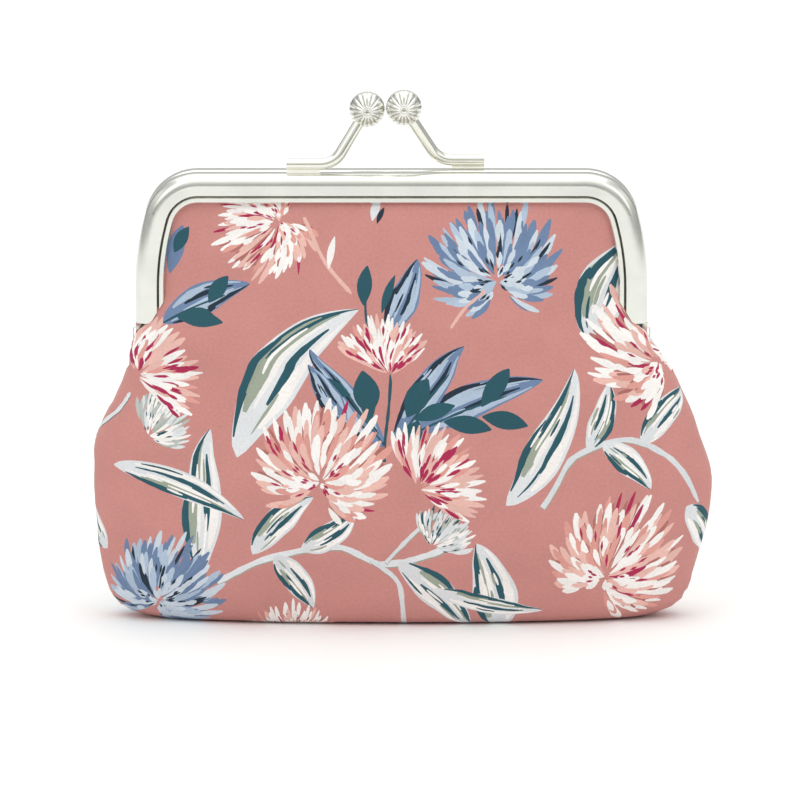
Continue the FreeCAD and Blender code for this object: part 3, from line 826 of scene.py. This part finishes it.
# ---- Materials ----
class Nodes:
    """The nodes of a material or a world, added one at a time."""

    def __init__(self, owner):
        owner.use_nodes = True
        self.owner = owner
        self.tree = owner.node_tree
        self.shader = self.tree.nodes.get("Principled BSDF")

    def add(self, kind, **values):
        """A node with its settings and its inputs' values. An input's name has _ for a space."""
        node = self.tree.nodes.new("ShaderNode" + kind)
        for key, value in values.items():
            if key in node.bl_rna.properties:
                setattr(node, key, value)
            else:
                node.inputs[key.replace("_", " ")].default_value = value
        return node

    def link(self, source, target):
        self.tree.links.new(source, target)

    def texture(self, kind, vector=None, **values):
        """A texture's value, along the object's own coordinates unless others are given."""
        node = self.add("Tex" + kind, **values)
        self.link(vector or self.add("TexCoord").outputs["Object"], node.inputs["Vector"])
        return node.outputs["Fac"]

    def ramp(self, source, *stops):
        """The colour between two stops at the source's value."""
        node = self.add("ValToRGB")
        for element, (position, colour) in zip(node.color_ramp.elements, stops):
            element.position = position
            element.color = (*colour, 1)
        self.link(source, node.inputs["Fac"])
        return node.outputs["Color"]

    def multiplied(self, first, second):
        node = self.add("Mix", data_type="RGBA", blend_type="MULTIPLY")
        node.inputs[0].default_value = 1.0
        self.link(first, node.inputs[6])
        self.link(second, node.inputs[7])
        return node.outputs[2]

    def number(self, source, low, high, **values):
        """The value 0 to 1, or From_Min to From_Max, turned into low to high."""
        node = self.add("MapRange", To_Min=low, To_Max=high, **values)
        self.link(source, node.inputs["Value"])
        return node.outputs["Result"]

    def math(self, operation, *values):
        node = self.add("Math", operation=operation)
        for socket, value in zip(node.inputs, values):
            if isinstance(value, float):
                socket.default_value = value
            else:
                self.link(value, socket)
        return node.outputs["Value"]

    def bump(self, height, strength, distance):
        node = self.add("Bump", Strength=strength, Distance=distance)
        self.link(height, node.inputs["Height"])
        self.link(node.outputs["Normal"], self.shader.inputs["Normal"])

    def surface(self, colour, roughness, **values):
        """The shader's colour and roughness from other nodes, and plain values for its other inputs."""
        self.link(colour, self.shader.inputs["Base Color"])
        self.link(roughness, self.shader.inputs["Roughness"])
        for key, value in values.items():
            self.shader.inputs[key.replace("_", " ")].default_value = value


def new_material(name):
    return Nodes(bpy.data.materials.new(name))


def woven(nodes, coordinates, pitch):
    """The height of a plain weave, 0 to 1, with its two thread directions along X and Y."""
    split = nodes.add("SeparateXYZ")
    nodes.link(coordinates, split.inputs[0])
    waves = []
    for axis, other in (("X", "Y"), ("Y", "X")):
        angle = nodes.math("MULTIPLY", split.outputs[axis], 2 * math.pi / pitch)
        across = nodes.math("MULTIPLY", split.outputs[other], math.pi / pitch)
        thread = nodes.math("ABSOLUTE", nodes.math("SINE", angle))
        waves.append(nodes.math("MULTIPLY", thread, nodes.math("SINE", across)))
    return nodes.math("MULTIPLY_ADD", nodes.math("ADD", *waves), 0.25, 0.5)


def printed_cloth():
    """Printed cotton: a fine plain weave under flat printed colours."""
    nodes = new_material("printed_cloth")
    paint = nodes.add("VertexColor", layer_name="print").outputs["Color"]
    threads = nodes.add("Attribute", attribute_name="threads").outputs["Vector"]
    slub = nodes.texture("Noise", threads, Scale=2.2, Detail=4.0, Roughness=0.6)
    broad = nodes.texture("Noise", threads, Scale=0.12, Detail=3.0)
    fleck = nodes.ramp(slub, (0.25, (0.90,) * 3), (0.75, (1.06,) * 3))
    shade = nodes.ramp(broad, (0.3, (0.96,) * 3), (0.7, (1.03,) * 3))
    colour = nodes.multiplied(nodes.multiplied(paint, fleck), shade)
    nodes.surface(colour, nodes.number(slub, 0.80, 0.95), Specular_IOR_Level=0.25, Sheen_Weight=0.12,
                  Sheen_Roughness=0.5)
    nodes.bump(nodes.math("ADD", woven(nodes, threads, 0.42), slub), 0.22, 0.00012)
    return nodes.owner


def fleece():
    """White wadding: soft, matted and slightly lumpy."""
    nodes = new_material("fleece")
    fibres = nodes.texture("Noise", Scale=2600.0, Detail=6.0, Roughness=0.7, Distortion=0.8)
    lumps = nodes.texture("Noise", Scale=260.0, Detail=3.0)
    mixed = nodes.math("ADD", fibres, lumps)
    tone = nodes.ramp(mixed, (0.35, linear(222, 219, 210)), (0.8, linear(247, 245, 239)))
    nodes.surface(tone, nodes.number(fibres, 0.9, 1.0), Specular_IOR_Level=0.1, Sheen_Weight=0.3)
    nodes.bump(mixed, 0.5, 0.0004)
    return nodes.owner


def lining_cloth():
    """Plain cream cotton with a visible weave."""
    nodes = new_material("lining_cloth")
    scaled = nodes.add("VectorMath", operation="SCALE", Scale=1 / MM)
    nodes.link(nodes.add("TexCoord").outputs["Object"], scaled.inputs[0])
    slub = nodes.texture("Noise", scaled.outputs[0], Scale=1.6, Detail=5.0)
    turn = nodes.add("Mapping", Rotation=(math.pi / 2, 0, 0))
    nodes.link(scaled.outputs[0], turn.inputs["Vector"])
    tone = nodes.ramp(slub, (0.3, linear(226, 215, 196)), (0.75, linear(242, 234, 218)))
    nodes.surface(tone, nodes.number(slub, 0.8, 0.95), Specular_IOR_Level=0.2, Sheen_Weight=0.1)
    nodes.bump(nodes.math("ADD", woven(nodes, turn.outputs[0], 0.5), slub), 0.3, 0.00015)
    return nodes.owner


def nickel(name, tone, roughness, spread, stretch=(1.0, 1.0, 1.0), wear=0.02, hollow_shade=None):
    """Bright nickel plate with fine wiping marks and small uneven patches.

    Its last argument is the colour of a painted shade that darkens the hollows of a mesh that marks them.
    """
    nodes = new_material(name)
    along = nodes.add("Mapping", Scale=stretch)
    nodes.link(nodes.add("TexCoord").outputs["Object"], along.inputs["Vector"])
    marks = nodes.texture("Noise", along.outputs[0], Scale=1500.0, Detail=4.0, Roughness=0.6)
    patches = nodes.texture("Noise", Scale=140.0, Detail=3.0)
    darker = tuple(c * 0.90 for c in tone)
    colour = nodes.ramp(patches, (0.3, darker), (0.65, tone))
    # Painted shade: the colour is darkened where the mesh marks a hollow
    if hollow_shade:
        hollow = nodes.add("Attribute", attribute_name="hollow").outputs["Fac"]
        colour = nodes.multiplied(colour, nodes.ramp(hollow, (0.1, (1, 1, 1)), (1.0, hollow_shade)))
    nodes.surface(colour, nodes.math("MULTIPLY_ADD", marks, spread, roughness), Metallic=1.0)
    nodes.bump(nodes.math("ADD", marks, patches), wear, 0.0002)
    return nodes.owner


def twisted(name, scale, dark, light, roughness, relief, **values):
    """Twisted paper or thread, with its strands running round it at a slant."""
    nodes = new_material(name)
    twist = nodes.texture("Wave", Scale=scale, wave_type="BANDS", bands_direction="DIAGONAL", **values)
    tone = nodes.ramp(twist, (0.1, linear(*dark)), (0.9, linear(*light)))
    nodes.surface(tone, nodes.number(twist, *roughness))
    nodes.bump(twist, *relief)
    return nodes.owner


def table_top():
    """A plain, matt, almost white table."""
    nodes = new_material("table_top")
    grain = nodes.texture("Noise", Scale=30.0, Detail=5.0)
    tone = nodes.ramp(grain, (0.3, (0.96,) * 3), (0.7, (0.98,) * 3))
    nodes.surface(tone, nodes.number(grain, 0.7, 0.8))
    return nodes.owner


def dress(piece, material):
    piece.data.materials.clear()
    piece.data.materials.append(material)


GATHER_DEPTH = 0.16
UNEVEN_DEPTH = 0.22


def puckers(points, half_lengths, rows, seed):
    """Small gathers where the cloth goes into the channel, and slight unevenness everywhere."""
    chance = random.Random(seed)

    def drawn(count, *ranges):
        return [[chance.uniform(*limits) for limits in ranges] for _ in range(count)]

    s = ACROSS * half_lengths[:, None]
    waves = drawn(7, (0.5, 1.6), (0, 2 * math.pi), (0.4, 1.0))
    gather = sum(size * np.sin(pitch * s + phase) for pitch, phase, size in waves) / 4
    slow = drawn(8, (0.08, 0.22), (0.05, 0.2), (0, 6.3))
    uneven = sum(np.sin(a * s + b * rows[:, None] + c) for a, b, c in slow) / 8
    height = points[:, :, 2]
    lip = np.clip((height - 54) / 10, 0, 1) * np.clip((71.0 - height) / 3, 0, 1)
    away = np.clip((1 - np.abs(ACROSS)) * half_lengths[:, None] / 6, 0, 1)
    free = away * np.clip(height / 6, 0, 1) * np.clip((70.0 - height) / 4, 0, 1)
    return GATHER_DEPTH * gather * lip * away + UNEVEN_DEPTH * uneven * free


# ---- Building ----
outer, outer_half, outer_rows = cloth_grid()
outer_normals = grid_normals(outer)
moved = swollen(outer, outer_half)
outer = outer + moved

CLOTH = printed_cloth()
FLEECE = fleece()
LINING = lining_cloth()
THREAD = twisted("thread", 2400.0, (188, 126, 118), (222, 166, 156), (0.6, 0.8), (0.4, 0.0001),
                 Distortion=1.0)
BALL_TONE = linear(242, 241, 236)
# Painted shade: the darker colour put in the clasp balls' flutes and dimples
HOLLOW_SHADE = linear(186, 184, 174)

# Side, whether it is mirrored, and the seed of its print
for side, mirrored, seed in (("front", False, 11), ("back", True, 29)):
    body = f"{side}_half"
    relief = puckers(outer, outer_half, outer_rows, seed)
    shell = outer + outer_normals * relief[:, :, None]
    cloth = printed_panel(f"{side}_cloth", shell, outer_half, outer_rows, seed, mirrored)
    dress(cloth, CLOTH)
    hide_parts(f"{side}_panel_upper", f"{side}_panel_lower")

    grid, _, _ = cloth_grid(PADDING_INSET)
    padding = layer_sheet(f"{side}_padding", grid + moved * PADDING_SWELL, mirrored, PADDING_THICKNESS)
    dress(padding, FLEECE)
    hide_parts(f"{side}_padding_upper", f"{side}_padding_lower")

    grid, half, rows = cloth_grid(LINING_INSET)
    lining = layer_sheet(f"{side}_lining", grid + moved * LINING_SWELL, mirrored)
    dress(lining, LINING)
    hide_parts(f"{side}_lining_upper", f"{side}_lining_lower")
    for piece in (cloth, padding, lining):
        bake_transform(piece)

    ball = fluted_ball(f"{side}_ball", f"{side}_clasp_ball")
    # The ball's flutes and dimple get painted shade
    dress(ball, nickel("ball_metal", BALL_TONE, 0.12, 0.12, wear=0.08, hollow_shade=HOLLOW_SHADE))
    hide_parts(f"{side}_clasp_ball")
    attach(ball, body)

# Seams: stitches that join the two outer cloths at the sides and under the base
SIDE_STITCH_WIDTH = 0.45
BASE_STITCH_WIDTH = 0.4
BASE_SEAM_ENDS = (-40, 0, 0.28), (40, 0, 0.28)
BASE_SEAM_POINTS = 60
sewn = outer[:, -1, 2] <= SEWN_BELOW
for side, column, sign in (("left", 0, -1.0), ("right", -1, 1.0)):
    line = outer[sewn, column] * (1, 0, 1)
    sewn_seam(f"{side}_seam", line, (sign, 0.0, 0.0), SIDE_STITCH_WIDTH, f"{side}_seam_thread")
line = np.linspace(*BASE_SEAM_ENDS, BASE_SEAM_POINTS)
sewn_seam("base_seam", line, (0.0, 0.0, -1.0), BASE_STITCH_WIDTH, "bottom_seam_thread")

CAD_MATERIALS = {
    "_frame": nickel("frame_metal", linear(234, 233, 226), 0.16, 0.12, (0.05, 1.0, 1.0)),
    "_clasp_arm": nickel("clasp_metal", linear(238, 236, 226), 0.12, 0.10),
    "_rivet": nickel("rivet_metal", linear(240, 239, 232), 0.2, 0.12),
    "_paper_cord": twisted("paper_cord", 900.0, (196, 170, 128), (226, 204, 166), (0.75, 0.95),
                           (0.5, 0.0002), Distortion=2.0, Detail=2.0),
}
for name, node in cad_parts.items():
    for ending, material in CAD_MATERIALS.items():
        if name.endswith(ending):
            dress(node, material)

# ---- Stage ----
FLOOR_SIZE = 4.0
FLOOR_DROP = 0.0002  # keeps the floor and the purse apart
bpy.ops.mesh.primitive_grid_add(x_subdivisions=4, y_subdivisions=4, size=FLOOR_SIZE)
floor = bpy.context.object
floor.name = "floor"
floor.location.z = -FLOOR_DROP
dress(floor, table_top())

scene = bpy.context.scene
scene.view_settings.view_transform = "Standard"
sky = Nodes(bpy.data.worlds.new("studio"))
way = sky.add("SeparateXYZ")
sky.link(sky.add("TexCoord").outputs["Generated"], way.inputs[0])


def sky_step(value, begin, finish, low, high):
    """A soft step in the sky's brightness."""
    return sky.number(value, low, high, From_Min=begin, From_Max=finish, interpolation_type="SMOOTHSTEP")


# A white tent: brightest overhead, dim at the horizon, with two soft gaps at the sides
GAP_PLACE = 0.62  # how far to each side a gap's middle is
CAMERA_WHITE = 1.1
gap = sky.math("SUBTRACT", sky.math("ABSOLUTE", way.outputs["X"]), GAP_PLACE)
gap = sky_step(sky.math("ABSOLUTE", gap), 0.05, 0.22, 0.55, 1.0)
low = sky_step(way.outputs["Z"], 0.02, 0.15, 0.37, 0.54)
high = sky_step(way.outputs["Z"], 0.15, 0.9, 1.0, 2.6)
tent = sky.math("MULTIPLY", sky.math("MULTIPLY", low, high), gap)
# What the camera sees past the table's edge is plain white
seen = sky.add("LightPath").outputs["Is Camera Ray"]
tent = sky.math("MAXIMUM", tent, sky.math("MULTIPLY", seen, CAMERA_WHITE))
background = sky.tree.nodes["Background"]
sky.link(tent, background.inputs["Strength"])
background.inputs["Color"].default_value = (0.98, 1.0, 0.98, 1)
scene.world = sky.owner

# Soft lights: name, place, size and power
LIGHT_AIM = Vector((0, 0, 0.04))
for name, place, size, power in (
    ("key_left", (-0.45, -0.45, 0.45), (0.35, 0.5), 0.49),
    ("key_right", (0.5, -0.4, 0.4), (0.35, 0.5), 0.41),
    ("top", (0, 0.05, 0.9), (0.9, 0.9), 1.23),
):
    data = bpy.data.lights.new(name, "AREA")
    data.shape = "RECTANGLE"
    data.size, data.size_y = size
    data.energy = power
    light = add_object(name, data)
    light.location = place
    light.rotation_euler = (LIGHT_AIM - Vector(place)).to_track_quat("-Z", "Y").to_euler()

CAMERA_RISE = 10.5  # degrees above the level
CAMERA_DISTANCE = 1.6
PICTURE_WIDTH = 800 * 0.1667 * MM  # pixels, and millimetres to a pixel at the purse
AIM = Vector((0.0014, 0.0, 0.0363))
rise = math.radians(CAMERA_RISE)
data = bpy.data.cameras.new("camera")
camera = add_object("camera", data)
camera.location = AIM + Vector((0, -math.cos(rise), math.sin(rise))) * CAMERA_DISTANCE
camera.rotation_euler = (AIM - camera.location).to_track_quat("-Z", "Y").to_euler()
data.sensor_width = 36.0
data.lens = data.sensor_width * CAMERA_DISTANCE / PICTURE_WIDTH
scene.camera = camera
